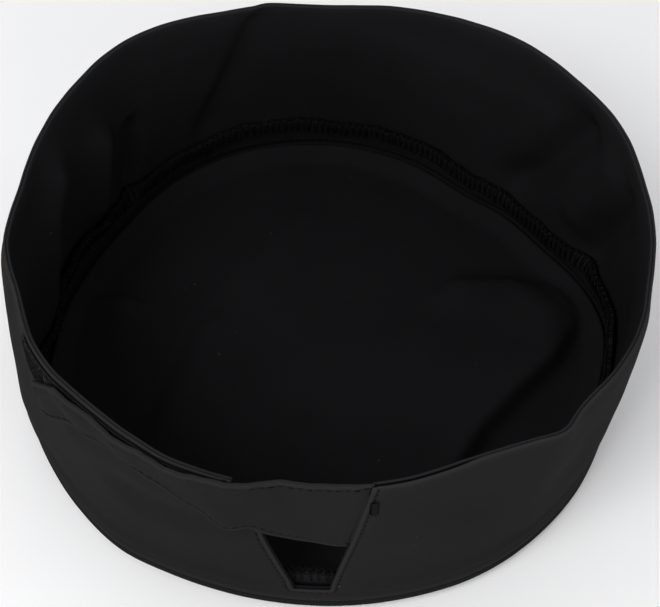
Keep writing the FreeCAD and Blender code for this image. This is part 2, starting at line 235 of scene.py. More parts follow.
def ripple(azimuth, height):
    """The slight unevenness of pressed cloth."""
    angle = np.radians(azimuth)
    slow = np.sin(5 * angle + 0.8 + height / 31) * np.sin(height / 17 + 2 * angle)
    middle = np.sin(13 * angle + 1.9 - height / 12) * np.sin(height / 11 + 1.3)
    fine = np.sin(37 * angle + height / 5) * np.sin(height / 6.5 - 9 * angle)
    return 0.35 * slow + 0.2 * middle + 0.07 * fine


def wall_radius(azimuth, height):
    """Radius of the band's outside face, without the seam's own ridges."""
    straight = np.clip((height - TURN_HEIGHT) / (RIM_HEIGHT - TURN_HEIGHT), 0, 1)
    lean = (eased(TURN_HEIGHT, RIM_HEIGHT, height) + straight) / 2
    radius = closed_curve(SEAM_SHAPE, azimuth) * (1 - lean) + closed_curve(RIM_SHAPE, azimuth) * lean
    calm = 0.25 + 0.75 * eased(TURN_HEIGHT, CALM_TOP, height)
    return radius + calm * (wall_folds(azimuth, height) + ripple(azimuth, height))


def on_wall(azimuth, height, offset):
    """Points at a distance from the wall's outside face, outward positive."""
    azimuth, height, offset = np.broadcast_arrays(azimuth, height, offset)
    radius = wall_radius(azimuth, height) + offset
    lift = closed_curve(RIM_LIFT, azimuth) * eased(LIFT_LOW, RIM_HEIGHT, height)
    angle = np.radians(azimuth)
    return np.stack([radius * np.cos(angle), radius * np.sin(angle), height + lift], -1)


def seam_ridges(height):
    """How the seam's turn, and the raw edges behind the wall, stand out on the outside."""
    return SEAM_PUSH * swell(height, 7.9, 2.2) + 0.9 * swell(height, 13.9, 2.0)


def edge_height(azimuth):
    """Height of the raw edges, cut a little unevenly."""
    angle = np.radians(azimuth)
    return closed_curve(EDGE_HEIGHT, azimuth) + 0.35 * np.sin(angle * 23) + 0.2 * np.sin(angle * 61 + 1)


def lean_in(azimuth, height):
    """How far the allowances lean away from the wall, waving a little round the hat."""
    angle = np.radians(azimuth)
    wave = 1 + 0.28 * np.sin(9 * angle + 0.7) + 0.2 * np.sin(23 * angle + 2) + 0.1 * np.sin(47 * angle)
    return ALLOWANCE_LEAN * wave * np.clip((height - TURN_HEIGHT) / (ALLOWANCE_TOP - TURN_HEIGHT), 0, 1.6)


def rounded(distance, radius):
    """Half thickness of a folded edge, from 0 at the edge to its radius."""
    return radius * np.sqrt(1 - (1 - np.clip(distance / radius, 0, 1)) ** 2)


def pressed(height, distance):
    """The wall's thickness beside its pressed edges, as a share of its full thickness."""
    return 0.7 + 0.3 * eased(0, 7, np.minimum(RIM_HEIGHT - height, distance))


def stitched(distance, depth=0.5):
    """How a line of topstitching pulls the cloth in beside a folded edge, and the edge puffs out."""
    return 0.12 * swell(distance, 0.8, 0.5) - depth * swell(distance, STITCH_INSET, 0.5)


def run_along(points):
    """Distance run along the points, from the first."""
    steps = np.linalg.norm(np.diff(points, axis=-2), axis=-1)
    return np.concatenate([np.zeros_like(steps[..., :1]), np.cumsum(steps, -1)], -1)


def flat_cloth(azimuth, height):
    """The side band's cloth laid out flat: millimetres round the hat, and height."""
    return np.stack(np.broadcast_arrays(azimuth * MM_PER_DEGREE, height), -1)


# ---- Meshes

def add_piece(name, points, faces, cloth, material, slot, wear=0.0):
    """A smooth piece in the frame's metres, with its cloth laid out flat in millimetres as UV."""
    mesh = bpy.data.meshes.new(name)
    mesh.from_pydata((np.asarray(points) * MM).tolist(), [], faces)
    corner = np.empty(len(mesh.loops), int)
    mesh.loops.foreach_get("vertex_index", corner)
    layer = mesh.uv_layers.new(name="cloth")
    layer.data.foreach_set("uv", np.asarray(cloth, np.float32)[corner].ravel())
    worn = mesh.attributes.new("wear", "FLOAT", "POINT")
    worn.data.foreach_set("value", (np.zeros(len(points)) + wear).astype(np.float32))
    shape = bmesh.new()
    shape.from_mesh(mesh)
    bmesh.ops.remove_doubles(shape, verts=shape.verts, dist=1e-6)
    bmesh.ops.dissolve_degenerate(shape, edges=shape.edges, dist=1e-7)
    bmesh.ops.recalc_face_normals(shape, faces=shape.faces)
    shape.to_mesh(mesh)
    shape.free()
    mesh.shade_smooth()
    piece = bpy.data.objects.new(name, mesh)
    bpy.context.scene.collection.objects.link(piece)
    piece.data.materials.append(material)
    return piece


def on_hat(piece, *nodes):
    """Fix a piece to the hat, in place of CAD nodes."""
    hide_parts(*nodes)
    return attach(piece, "hat")


def grid_faces(index, closed_rows=False, closed_columns=False):
    """Quads over a (column, row) array of point numbers."""
    index = np.asarray(index)
    if closed_rows:
        index = np.concatenate([index, index[:, :1]], 1)
    if closed_columns:
        index = np.concatenate([index, index[:1]], 0)
    quads = np.stack([index[:-1, :-1], index[1:, :-1], index[1:, 1:], index[:-1, 1:]], -1)
    return quads.reshape(-1, 4).tolist()


def layer(name, surface, azimuth, height, front, back, material, slot, wear=0.0):
    """A thin closed piece of cloth between two offsets from a surface, over a (column, row) grid."""
    points = np.stack([surface(azimuth, height, front), surface(azimuth, height, back)])
    index = np.arange(points[..., 0].size).reshape(points.shape[:3])
    faces = grid_faces(index[0]) + grid_faces(index[1][:, ::-1])
    for edge in (np.s_[:, 0], np.s_[::-1, -1], np.s_[0, ::-1], np.s_[-1, :]):
        faces += grid_faces(np.stack([index[1][edge], index[0][edge]]))
    flat = np.tile(flat_cloth(azimuth, height).reshape(-1, 2), (2, 1))
    worn = np.zeros(points.shape[:3]) + wear
    return add_piece(name, points.reshape(-1, 3), faces, flat, material, slot, worn.ravel())


def tube_parts(path, radius, sides=6, closed=False):
    """Points, faces and cloth of a round thread along a path. Its open ends taper."""
    path = np.asarray(path, float)
    across = [0.31, 0.17, 0.93]  # no thread runs along this direction
    ahead = np.roll(path, -1, 0) - np.roll(path, 1, 0)
    if not closed:
        ahead[0] = path[1] - path[0]
        ahead[-1] = path[-1] - path[-2]
    ahead /= np.linalg.norm(ahead, axis=1)[:, None] + 1e-12
    side = np.cross(ahead, across)
    side /= np.linalg.norm(side, axis=1)[:, None] + 1e-12
    over = np.cross(ahead, side)
    size = np.full(len(path), float(radius))
    if not closed:
        size[0] = size[-1] = radius * 0.15
    turn = np.arange(sides) * 2 * math.pi / sides
    ring = side[:, None] * np.cos(turn)[None, :, None] + over[:, None] * np.sin(turn)[None, :, None]
    points = path[:, None] + ring * size[:, None, None]
    index = np.arange(len(path) * sides).reshape(len(path), sides)
    faces = grid_faces(index, closed_rows=True, closed_columns=closed)
    if not closed:
        faces += [index[0, ::-1].tolist(), index[-1].tolist()]
    cloth = np.stack(np.broadcast_arrays(run_along(path)[:, None], np.arange(sides)[None] * radius), -1)
    return points.reshape(-1, 3), faces, cloth.reshape(-1, 2)


def threads(name, paths, radius, material, slot, sides=6, closed=False):
    """One piece of many threads."""
    points, faces, cloth = [], [], []
    start = 0
    for path in paths:
        some, quads, flat = tube_parts(path, radius, sides, closed)
        points.append(some)
        cloth.append(flat)
        faces += [[corner + start for corner in face] for face in quads]
        start += len(some)
    return add_piece(name, np.concatenate(points), faces, np.concatenate(cloth), material, slot)


def sewn(name, seam, pitch, place, finish, radius=THREAD):
    """Arched stitches along (azimuth, height) points. place(azimuth, height, lift) puts each in space."""
    seam = flat_cloth(*np.transpose(seam))
    run = run_along(seam)
    count = max(int(run[-1] / pitch), 1)
    arch = THREAD * (1.6 * np.sin(np.linspace(0, math.pi, 7)) - 0.9)
    stitches = []
    for number in range(count):
        begin = number * run[-1] / count + (1 - STITCH_SHARE) / 2 * pitch
        steps = np.linspace(begin, begin + STITCH_SHARE * run[-1] / count, len(arch))
        across, height = (np.interp(steps, run, values) for values in seam.T)
        stitches.append(place(across / MM_PER_DEGREE, height, arch))
    return threads(name, stitches, radius, finish, "black_thread")


# ---- Materials

WAVE = 0.314  # length of one wave of the wave texture at scale 1
WALE = 0.52  # one diagonal rib of the twill


class Paint:
    """A node material whose nodes are added one at a time."""

    def __init__(self, name):
        self.material = bpy.data.materials.new(name)
        self.material.use_nodes = True
        self.tree = self.material.node_tree
        self.shader = self.tree.nodes["Principled BSDF"]

    def add(self, kind, inputs=None, **settings):
        node = self.tree.nodes.new("ShaderNode" + kind)
        for key, value in settings.items():
            setattr(node, key, value)
        self.feed(node, inputs or {})
        return node

    def feed(self, node, inputs):
        for key, value in inputs.items():
            if isinstance(value, bpy.types.NodeSocket):
                self.tree.links.new(value, node.inputs[key])
            else:
                node.inputs[key].default_value = value

    def cloth(self):
        """Position on the flat cloth, in millimetres."""
        return self.add("UVMap", uv_map="cloth").outputs["UV"]

    def place(self):
        """Position in space, in metres."""
        return self.add("TexCoord").outputs["Object"]

    def mapped(self, vector, **settings):
        return self.add("Mapping", {"Vector": vector, **settings}).outputs[0]

    def math(self, operation, first, second, third=0.0):
        return self.add("Math", {0: first, 1: second, 2: third}, operation=operation).outputs[0]

    def share(self, value, weight, other, other_weight):
        """A weighted sum of two values."""
        return self.math("MULTIPLY_ADD", value, weight, self.math("MULTIPLY", other, other_weight))

    def ramp(self, fac, *stops):
        node = self.add("ValToRGB", {"Fac": fac})
        while len(node.color_ramp.elements) < len(stops):
            node.color_ramp.elements.new(0.5)
        for element, (at, colour) in zip(node.color_ramp.elements, stops):
            element.position = at
            element.color = (*colour, 1)
        return node.outputs["Color"]

    def mix(self, fac, first, second):
        node = self.add("Mix", data_type="RGBA")
        self.feed(node, {0: fac, 6: first, 7: second})
        return node.outputs[2]

    def noise(self, vector, scale, detail=3.0, roughness=0.55):
        inputs = {"Vector": vector, "Scale": scale, "Detail": detail, "Roughness": roughness}
        return self.add("TexNoise", inputs).outputs["Fac"]

    def wave(self, vector, scale, direction, distortion, detail=2.0, detail_scale=1.0):
        inputs = {"Vector": vector, "Scale": scale, "Distortion": distortion, "Detail": detail,
                  "Detail Scale": detail_scale}
        return self.add("TexWave", inputs, wave_type="BANDS", bands_direction=direction).outputs["Fac"]

    def bump(self, height, distance, strength, under=None):
        inputs = {"Height": height, "Distance": distance, "Strength": strength}
        if under is not None:
            inputs["Normal"] = under
        return self.add("Bump", inputs).outputs["Normal"]

    def finish(self, colour, roughness, specular, **more):
        """Set the shader and hand over the material."""
        inputs = {"Base Color": colour, "Roughness": roughness, "Specular IOR Level": specular, **more}
        self.feed(self.shader, inputs)
        return self.material


def grey(value, blue=1.0):
    return (value, value, value * blue)


def lint(paint, place):
    """1 on a few tiny specks."""
    specks = paint.add("TexVoronoi", {"Vector": place, "Scale": 210.0}, feature="F1").outputs["Distance"]
    tiny = paint.math("LESS_THAN", specks, 0.055)
    return paint.math("MULTIPLY", tiny, paint.math("GREATER_THAN", paint.noise(place, 60.0, 1.0), 0.6))


def twill(name, dark, light, blue):
    """Woven twill: diagonal wales of uneven yarns, worn edges and a little lint."""
    paint = Paint(name)
    cloth, place = paint.cloth(), paint.place()
    diagonal = paint.mapped(cloth, Rotation=(0, 0, math.radians(62)))
    wales = paint.wave(diagonal, WAVE / WALE, "X", 1.1, 2.0, 1.4)
    weft = paint.wave(cloth, WAVE / (WALE * 0.8), "Y", 0.9, 1.0)
    yarns = paint.noise(paint.mapped(cloth, Scale=(0.35, 3.2, 1)), 0.9, 4.0)
    blotches = paint.noise(place, 26.0, 4.0, 0.5)
    fuzz = paint.noise(place, 2600.0, 2.0, 0.7)
    weave = paint.share(wales, 0.72, weft, 0.28)
    tone = paint.math("MULTIPLY_ADD", blotches, 0.36, paint.share(weave, 0.30, yarns, 0.34))
    colour = paint.ramp(tone, (0.22, grey(dark, blue)), (0.78, grey(light, blue)))
    wear = paint.add("Attribute", attribute_name="wear").outputs["Fac"]
    rubbed = paint.math("MULTIPLY", wear, paint.math("MULTIPLY_ADD", fuzz, 0.7, 0.1))
    colour = paint.mix(rubbed, colour, (*grey(light * 2.1, blue), 1))
    colour = paint.mix(paint.math("MULTIPLY", lint(paint, place), 0.5), colour, (*grey(0.09), 1))
    rough = paint.math("MULTIPLY_ADD", tone, -0.12, 0.9)
    coarse = paint.bump(blotches, 0.0006, 0.5)
    woven = paint.bump(weave, 0.00008, 0.35, coarse)
    fuzzy = paint.bump(fuzz, 0.00005, 0.5, woven)
    return paint.finish(colour, rough, 0.02, Normal=fuzzy)


def thread_finish(name, dark, light):
    """Twisted sewing thread with flyaway fibres."""
    paint = Paint(name)
    slanted = paint.mapped(paint.cloth(), Rotation=(0, 0, math.radians(38)))
    twist = paint.wave(slanted, 0.9, "X", 0.8, 1.0)
    tone = paint.share(twist, 0.55, paint.noise(paint.place(), 3200.0), 0.45)
    colour = paint.ramp(tone, (0.2, grey(dark, 1.08)), (0.85, grey(light, 1.08)))
    return paint.finish(colour, 0.62, 0.06, Normal=paint.bump(tone, 0.00008, 0.8))


def bonded(name, dark, light):
    """Non-woven stiffener: matted short fibres."""
    paint = Paint(name)
    place = paint.place()
    mat = paint.noise(paint.mapped(place, Scale=(1, 1, 0.3)), 900.0, 6.0, 0.7)
    clumps = paint.noise(place, 120.0)
    tone = paint.math("MULTIPLY", mat, paint.math("ADD", clumps, 0.5))
    colour = paint.ramp(tone, (0.25, grey(dark)), (0.7, grey(light)))
    normal = paint.bump(tone, 0.0001, 0.7)
    return paint.finish(colour, 0.95, 0.2, **{"Normal": normal, "Sheen Weight": 0.15})


def nylon(name, dark, light, roughness, knit):
    """Knitted nylon tape and its pile."""
    paint = Paint(name)
    cloth = paint.cloth()
    wales = paint.wave(cloth, WAVE / knit, "X", 1.2)
    courses = paint.wave(cloth, WAVE / (knit * 0.7), "Y", 0.8)
    knitted = paint.math("MULTIPLY", wales, courses)
    tone = paint.share(knitted, 0.5, paint.noise(paint.place(), 180.0, 4.0), 0.5)
    colour = paint.ramp(tone, (0.2, grey(dark)), (0.8, grey(light)))
    return paint.finish(colour, roughness, 0.05, Normal=paint.bump(knitted, 0.0001, 0.8))


# One black twill in two copies with painted light and shade: the outside copy is lighter, and the inside
# copy, for the band's lining and the crown, is darker and bluer as painted shade inside the hat.
TWILL = twill("black_twill_outside_painted_light", 0.0074, 0.0142, blue=1.0)
SHADED_TWILL = twill("black_twill_inside_painted_shade", 0.0056, 0.0116, blue=1.1)
# The sewing thread is darker than the cloth: painted shade of the stitch grooves.
SHADED_SEWING_THREAD = thread_finish("black_sewing_thread_painted_shade", 0.002, 0.009)
# The overlock thread is darker still: painted shade among the serging's loops, down in the seam.
SHADED_OVERLOCK_THREAD = thread_finish("black_overlock_thread_painted_shade", 0.001, 0.007)
STIFFENER = bonded("bonded_interlining", 0.03, 0.075)
HOOK_FINISH = nylon("hook_tape_nylon", 0.004, 0.012, 0.45, 0.5)
LOOP_FINISH = nylon("loop_tape_nylon", 0.005, 0.02, 0.7, 0.45)


# ---- Notch outline, in azimuth at a height

def notch_side(height, halves):
    """Degrees from the notch's middle to one of its edges."""
    floor_half, rim_half = halves
    share = (height - NOTCH_FLOOR) / (RIM_HEIGHT - NOTCH_FLOOR)
    bow = NOTCH_BOW * np.sin(math.pi * np.clip(share, 0, 1))
    return (floor_half + (rim_half - floor_half) * share + bow) / MM_PER_DEGREE


def notch_right(height):
    return -90 + notch_side(height, NOTCH_RIGHT)


def notch_left(height):
    return -90 - notch_side(height, NOTCH_LEFT)


# Distances from a folded edge where the cloth's grid has a column, closer together near the edge.
EDGE_STEPS = np.array([
    0, 0.05, 0.14, 0.28, 0.45, 0.62, 0.85, 1.1, 1.3, 1.5, 1.7, 1.9, 2.1, 2.35, 2.8, 3.6, 4.7, 6.0, 7.4,
    8.8, 10.2, 11.4, 12.2, 13.0,
])


def between_edges(length, step, edge=EDGE_STEPS):
    """Distances from 0 to length with the edge's spacing at both ends."""
    count = max(int(round((length - 2 * edge[-1]) / step)), 1)
    middle = np.linspace(edge[-1], length - edge[-1], count + 1)[1:-1]
    return np.concatenate([edge, middle, length - edge[::-1]])


# ---- Side band

FACE_ROWS = np.concatenate([
    np.arange(TURN_HEIGHT, NOTCH_FLOOR - 2.0, 0.7),
    NOTCH_FLOOR - np.array([1.9, 1.6, 1.3, 1.0, 0.7, 0.45, 0.25, 0.1, 0]),
    np.arange(NOTCH_FLOOR + 1.2, RIM_HEIGHT - 8.0, 1.6),
    np.linspace(RIM_HEIGHT - 7.4, RIM_HEIGHT - PLY, 8),
])
FLOOR_ROW = int(np.argmin(np.abs(FACE_ROWS - NOTCH_FLOOR)))
FOLD_POINTS = 7  # points round the fold of the rim


def band_columns():
    """Azimuths (column, row) the long way round from the notch's right edge to its left, and each
    point's distance from the notch."""
    level = np.maximum(FACE_ROWS, NOTCH_FLOOR)
    right, left = notch_right(level), notch_left(level) + 360
    length = (left - right).mean() * MM_PER_DEGREE
    steps = between_edges(length, 1.6)
    azimuth = right + (left - right) * (steps / length)[:, None]
    beside = np.minimum(steps, length - steps)[:, None]
    return azimuth, np.hypot(beside, below_notch())


def floor_columns():
    """Azimuths (column, row) across the notch, and each point's distance below its floor."""
    left, right = notch_left(NOTCH_FLOOR) + 360, notch_right(NOTCH_FLOOR) + 360
    across = left + (right - left) * between_edges(1, 0.08, np.array([0, 0.02, 0.06, 0.12]))
    azimuth = np.repeat(across[:, None], len(FACE_ROWS), 1)
    return azimuth, np.repeat(below_notch()[None], len(across), 0)


def below_notch():
    return np.maximum(NOTCH_FLOOR - FACE_ROWS, 0)


def root_room(azimuth, height):
    """1 where the tab's root lies between the plies, right of the notch."""
    return eased(-93, -90, azimuth) * (1 - eased(-66, -62, azimuth)) * eased(36, 40, height)


def ply_offsets(columns, rows, apart, inside):
    """Offsets of one band ply's face and of its back, where the ply and its hem meet the other ply's."""
    sign = -1 if inside else 1
    middle = MID_WALL + sign * PLY
    thick = rounded(apart, PLY)
    room = root_room(columns % 360 - 360, rows) * thick / PLY
    face = middle + sign * (thick + 0.3 * room)
    if not inside:
        face = face + stitched(apart) + seam_ridges(rows)
    hemmed = np.maximum(eased(HEM_LOW - 0.8, HEM_LOW, rows), 1 - eased(FACING, FACING + 1, apart))
    back = middle - sign * (hemmed * (0.95 * thick - 0.42 * room) + 0.03)
    share = pressed(rows, apart)
    return MID_WALL + (face - MID_WALL) * share, MID_WALL + (back - MID_WALL) * share


def rim_fold(azimuth, face, back, sign):
    """The ply's round fold over the rim, from its face to its back."""
    turn = np.radians(np.linspace(15, 165, FOLD_POINTS))
    offset = (face + back) / 2 + sign * np.abs(face - back) / 2 * np.cos(turn)
    return on_wall(azimuth, FACE_ROWS[-1] + PLY * np.sin(turn), offset)


def seam_allowance(azimuth, inside):
    """The ply's turn at the crown seam, up to its raw edge and back down, from its back round to its face."""
    rise = TURN_HEIGHT + (edge_height(azimuth) - TURN_HEIGHT) * np.linspace(0, 1, 7)
    lean = lean_in(azimuth, rise)
    if inside:
        start, near, far, drop = -WALL + PLY, -WALL, -WALL - PLY, 0.5
    else:
        start, near, far, drop = SEAM_PUSH, -WALL - PLY - 0.02, -WALL - 2 * PLY, TURN_DROP
    turn = np.radians(np.linspace(0, -180, 9)[1:-1])
    centre, reach = (start + far) / 2, (start - far) / 2
    swing = on_wall(azimuth, TURN_HEIGHT + drop * np.sin(turn), centre + reach * np.cos(turn))
    up_far = on_wall(azimuth, rise, far - lean)
    down_near = on_wall(azimuth, rise, near - lean)[:, ::-1]
    # the lining's back runs into its turn, and the outer ply's back into the raw edge
    path = np.concatenate([swing, up_far, down_near], 1)
    return path if inside else path[:, ::-1]


def ply_section(columns, apart, inside):
    """Points (column, row, xyz) round one ply: up its face, over the rim, down its back and round the seam's
    turn, with the cloth and the wear at each."""
    rows = np.repeat(FACE_ROWS[None], len(columns), 0)
    face, back = ply_offsets(columns, rows, apart, inside)
    fold_over = rim_fold(columns[:, -1:], face[:, -1:], back[:, -1:], -1 if inside else 1)
    turned = seam_allowance(columns[:, :1], inside)
    loop = np.concatenate(
        [on_wall(columns, rows, face), fold_over, on_wall(columns, rows, back)[:, ::-1], turned], 1)
    azimuth = np.concatenate([
        columns, np.repeat(columns[:, -1:], FOLD_POINTS, 1), columns[:, ::-1],
        np.repeat(columns[:, :1], turned.shape[1], 1)], 1)
    rub = np.exp(-apart / 0.9) + np.exp(-((RIM_HEIGHT - rows) / 1.1))
    if not inside:
        rub = rub + 0.5 * swell(rows, 7.5, 1.4)
    wear = np.zeros(loop.shape[:2])
    wear[:, :len(FACE_ROWS)] = np.clip(rub, 0, 1)
    wear[:, len(FACE_ROWS):len(FACE_ROWS) + FOLD_POINTS] = 1
    return loop, flat_cloth(azimuth, run_along(loop)), wear


def band_faces(main, patch):
    """Faces over the band's point numbers and those of the patch that joins its ends below the notch."""
    back_start = len(FACE_ROWS) + FOLD_POINTS
    back_end = back_start + len(FACE_ROWS)
    faces = grid_faces(main, closed_rows=True) + grid_faces(patch, closed_rows=True)
    for column in (main[0], main[-1]):
        up_front = column[FLOOR_ROW:len(FACE_ROWS)]
        up_back = column[back_start:back_end][::-1][FLOOR_ROW:]
        faces += grid_faces(np.stack([up_front, up_back]))
        faces.append(column[len(FACE_ROWS) - 1:back_start + 1].tolist())
    return faces


def band_ply(name, inside, material, node):
    """One ply of the band: its face, the hem turned over the rim, and the seam allowance."""
    main, main_cloth, main_wear = ply_section(*band_columns(), inside)
    patch, patch_cloth, patch_wear = ply_section(*floor_columns(), inside)
    back_floor = 2 * len(FACE_ROWS) + FOLD_POINTS - 1 - FLOOR_ROW
    low = np.r_[0:FLOOR_ROW + 1, back_floor:main.shape[1]]
    patch, patch_cloth, patch_wear = patch[:, low], patch_cloth[:, low], patch_wear[:, low]
    # the patch's end columns take the places of the edge columns, so that the two join
    patch[0], patch[-1] = main[-1, low], main[0, low]
    main_index = np.arange(main.shape[0] * main.shape[1]).reshape(main.shape[:2])
    patch_index = np.arange(patch.shape[0] * patch.shape[1]).reshape(patch.shape[:2]) + main_index.size
    points = np.concatenate([main.reshape(-1, 3), patch.reshape(-1, 3)])
    cloth = np.concatenate([main_cloth.reshape(-1, 2), patch_cloth.reshape(-1, 2)])
    wear = np.concatenate([main_wear.ravel(), patch_wear.ravel()])
    piece = add_piece(name, points, band_faces(main_index, patch_index), cloth, material, "black_twill", wear)
    return on_hat(piece, node)


def make_interlining():
    """The stiffener between the plies, short of the facings, the hems and the tab's root."""
    rows = np.linspace(TURN_HEIGHT + 2, HEM_LOW - 0.6, 24)
    columns = np.linspace(-60, 270 - (FACING + 22) / MM_PER_DEGREE, 260)[:, None]
    ridge = 0.9 * seam_ridges(rows)
    front, back = ridge - PLY - 0.1, 0.5 * ridge - WALL + PLY + 0.12
    piece = layer("band_interlining_cloth", on_wall, columns, rows, front, back, STIFFENER, "interlining")
    return on_hat(piece, "band_interlining")


# ---- Crown

CROWN_COLUMNS = np.arange(0, 360, 0.9)[:, None]
CROWN_ROOM = 13.0  # the flat part ends this far inside the wall
CROWN_TOP = PLY + GAP
# The panel's roll up to the seam, inside the hat: (out from the wall, height above the flat cloth).
CROWN_ROLL = np.array([
    (-12.2, 0.1), (-11.0, 0.5), (-9.8, 1.3), (-8.8, 2.3), (-8.0, 3.2), (-7.2, 4.0), (-6.5, 4.5),
    (-5.9, 4.65), (-5.45, 4.4), (-5.1, 3.7), (-4.8, 2.9), (-4.3, 2.4), (-3.7, 2.4), (-3.3, 3.0),
    (-3.25, 3.9), (-3.5, 4.8), (-4.1, 5.4), (-4.25, 6.0),
])
# The same roll's outer face, from the seam down to the table: (out from the wall, height).
CROWN_BELLY = np.array([
    (0.6, 6.1), (0.8, 5.4), (0.8, 4.5), (0.45, 3.3), (-0.4, 2.2), (-1.8, 1.2), (-3.8, 0.45), (-6.4, 0.1),
    (-9.5, 0.0), (-13.0, 0.0),
])


def crown_relief(x, y):
    """Height of the crown's cloth above the table: ridges and a slight unevenness."""
    lift = 0
    for path, height, left, right in CROWN_FOLDS:
        lift = lift + fold(path, height, left, right, x, y)
    slow = np.sin(x / 19 + 0.6) * np.sin(y / 16 + 1.1)
    fine = np.sin(x / 7.5 + y / 11) * np.sin(y / 8.3 - x / 23 + 0.4)
    return np.maximum(lift + 0.25 + 0.22 * slow + 0.07 * fine, 0)


def ring(radius, height):
    """Points (column, row, xyz) round the crown's columns."""
    radius, height = np.broadcast_arrays(radius, height)
    angle = np.radians(CROWN_COLUMNS)
    return np.stack([radius * np.cos(angle), radius * np.sin(angle), height], -1)


def crown_flat(seam):
    """Radii of the flat part's rings, and the relief at each."""
    flat = seam - CROWN_ROOM
    radius = flat * np.linspace(0.012, 1, 52) ** 0.92
    x, y = np.moveaxis(ring(radius, 0)[..., :2], -1, 0)
    return radius, crown_relief(x, y) * (1 - 0.45 * eased(flat - 12, flat, radius))


def crown_roll(seam, relief):
    out, height = CROWN_ROLL.T
    carried = relief * np.clip(1 - (out + CROWN_ROOM) / 6, 0, 1)
    return ring(seam + out, CROWN_TOP + height + carried)


def crown_belly(seam, relief):
    out, height = CROWN_BELLY.T
    carried = np.maximum(height, relief * (-out - 7) / 6)
    return ring(seam + out, np.where(out < -7, carried, height))


def crown_allowance(offset):
    """One face of the turned-up allowance, from its foot to its raw edge."""
    rise = TURN_HEIGHT + (edge_height(CROWN_COLUMNS) - TURN_HEIGHT) * np.linspace(0, 1, 8)
    return on_wall(CROWN_COLUMNS, rise, offset - lean_in(CROWN_COLUMNS, rise))


def crown_turn():
    """The panel's turn under the band's two allowances."""
    turn = np.radians(np.linspace(180, 338, 9))
    behind = WALL + 2 * PLY
    centre, reach = (SEAM_PUSH - behind) / 2, (SEAM_PUSH + behind) / 2 + 0.02
    height = TURN_HEIGHT + (TURN_DROP + GAP) * np.sin(turn)
    return on_wall(CROWN_COLUMNS, height, centre + reach * np.cos(turn))


def make_crown():
    """The round panel: flat on the table, rolled up to the seam, and its raw edge turned up inside."""
    seam = wall_radius(CROWN_COLUMNS, TURN_HEIGHT)
    radius, relief = crown_flat(seam)
    parts = [
        ring(radius, CROWN_TOP + relief),
        crown_roll(seam, relief[:, -1:]),
        crown_allowance(ALLOWANCE_FACE),
        crown_allowance(ALLOWANCE_FACE + PLY)[:, ::-1],
        crown_turn(),
        crown_belly(seam, relief[:, -1:]),
        ring(radius[:, ::-1], 0.98 * relief[:, ::-1])[:, 1:],
    ]
    starts = np.cumsum([part.shape[1] for part in parts])
    loop = np.concatenate(parts, 1)
    run = run_along(loop)
    outward = np.arange(loop.shape[1]) < starts[2]
    cloth = ring(np.where(outward, run, run[:, -1:] - run) + radius[:, :1], 0)[..., :2]
    wear = np.zeros(loop.shape[:2])
    wear[:, starts[4]:starts[4] + 6] = 0.1  # the belly rubs on the table
    index = np.arange(loop.shape[0] * loop.shape[1]).reshape(loop.shape[:2])
    faces = grid_faces(index, closed_columns=True)
    points = loop.reshape(-1, 3)
    for row in (0, -1):
        middle = len(points)
        points = np.concatenate([points, [[0, 0, loop[:, row, 2].mean()]]])
        around = index[:, row].tolist()
        faces += [[middle, here, there] for here, there in zip(around, around[1:] + around[:1])]
    cloth = np.concatenate([cloth.reshape(-1, 2), np.zeros((2, 2))])
    wear = np.concatenate([wear.ravel(), np.zeros(2)])
    piece = add_piece("crown_cloth", points, faces, cloth, SHADED_TWILL, "black_twill", wear)
    return on_hat(piece, "crown_panel")


# ---- Crown seam and serging

OVERLOCK_PITCH = 2.4
LACE_INSIDE = ALLOWANCE_FACE - 0.22
LACE_OUTSIDE = -WALL + 0.17
LACE_CREST = (ALLOWANCE_FACE - WALL) / 2
# One turn of the lacing: (share of the pitch, height above the raw edges, offset from the wall).
LACE_TURN = [
    (0.0, -6.0, LACE_INSIDE), (0.16, -3.2, LACE_INSIDE - 0.25), (0.3, -0.4, LACE_INSIDE),
    (0.42, 0.35, LACE_CREST), (0.52, -0.5, LACE_OUTSIDE), (0.62, -2.4, LACE_OUTSIDE),
    (0.72, -0.4, LACE_OUTSIDE), (0.8, 0.4, LACE_CREST), (0.88, -0.3, LACE_INSIDE),
    (0.94, -3.0, LACE_INSIDE - 0.2),
]


def round_seam(height):
    """A level seam all round the hat: (azimuth, height)."""
    return [(azimuth, height) for azimuth in np.linspace(0, 360, 721)]


def make_seam_stitches():
    """The lockstitch at the foot of the allowances."""
    def place(azimuth, height, lift):
        return on_wall(azimuth, height, ALLOWANCE_FACE + 0.1 - lift)

    piece = sewn("crown_seam_stitches", round_seam(TURN_HEIGHT - 1.4), 2.6, place, SHADED_OVERLOCK_THREAD)
    return on_hat(piece, "crown_seam_thread")


def on_edge(azimuth, above, offset):
    """Points at a height above the raw edges, leaning in with them."""
    height = edge_height(azimuth) + above
    return on_wall(azimuth, height, offset - lean_in(azimuth, height))


def overlock_paths(chance):
    """The thread laced over the raw edges, and the chain along their top."""
    pitch = OVERLOCK_PITCH / MM_PER_DEGREE
    lacing, chain = [], []
    for turn in range(int(360 / pitch)):
        loose = chance.normal(0, 0.35, 3)
        for share, above, offset in LACE_TURN:
            lacing.append(((turn + share + 0.3 * loose[0]) * pitch, above * (1 + 0.2 * loose[1]), offset))
        for step in range(8):
            phase = step * math.pi / 4
            along = turn + step / 8 + 0.14 * math.sin(2 * phase)
            offset = LACE_INSIDE + 0.25 - 0.3 * math.cos(phase) + 0.2 * loose[2]
            chain.append((along * pitch, 0.35 + 0.25 * math.sin(phase), offset))
    return [on_edge(*np.array(path).T) for path in (lacing, chain)]


def make_needle_row():
    """The serging's own line of stitches, below the raw edges."""
    def place(azimuth, above, lift):
        return on_edge(azimuth, above, LACE_INSIDE - 0.15 - lift)

    return sewn("crown_overlock_needle_row", round_seam(-5.4), OVERLOCK_PITCH, place, SHADED_OVERLOCK_THREAD)


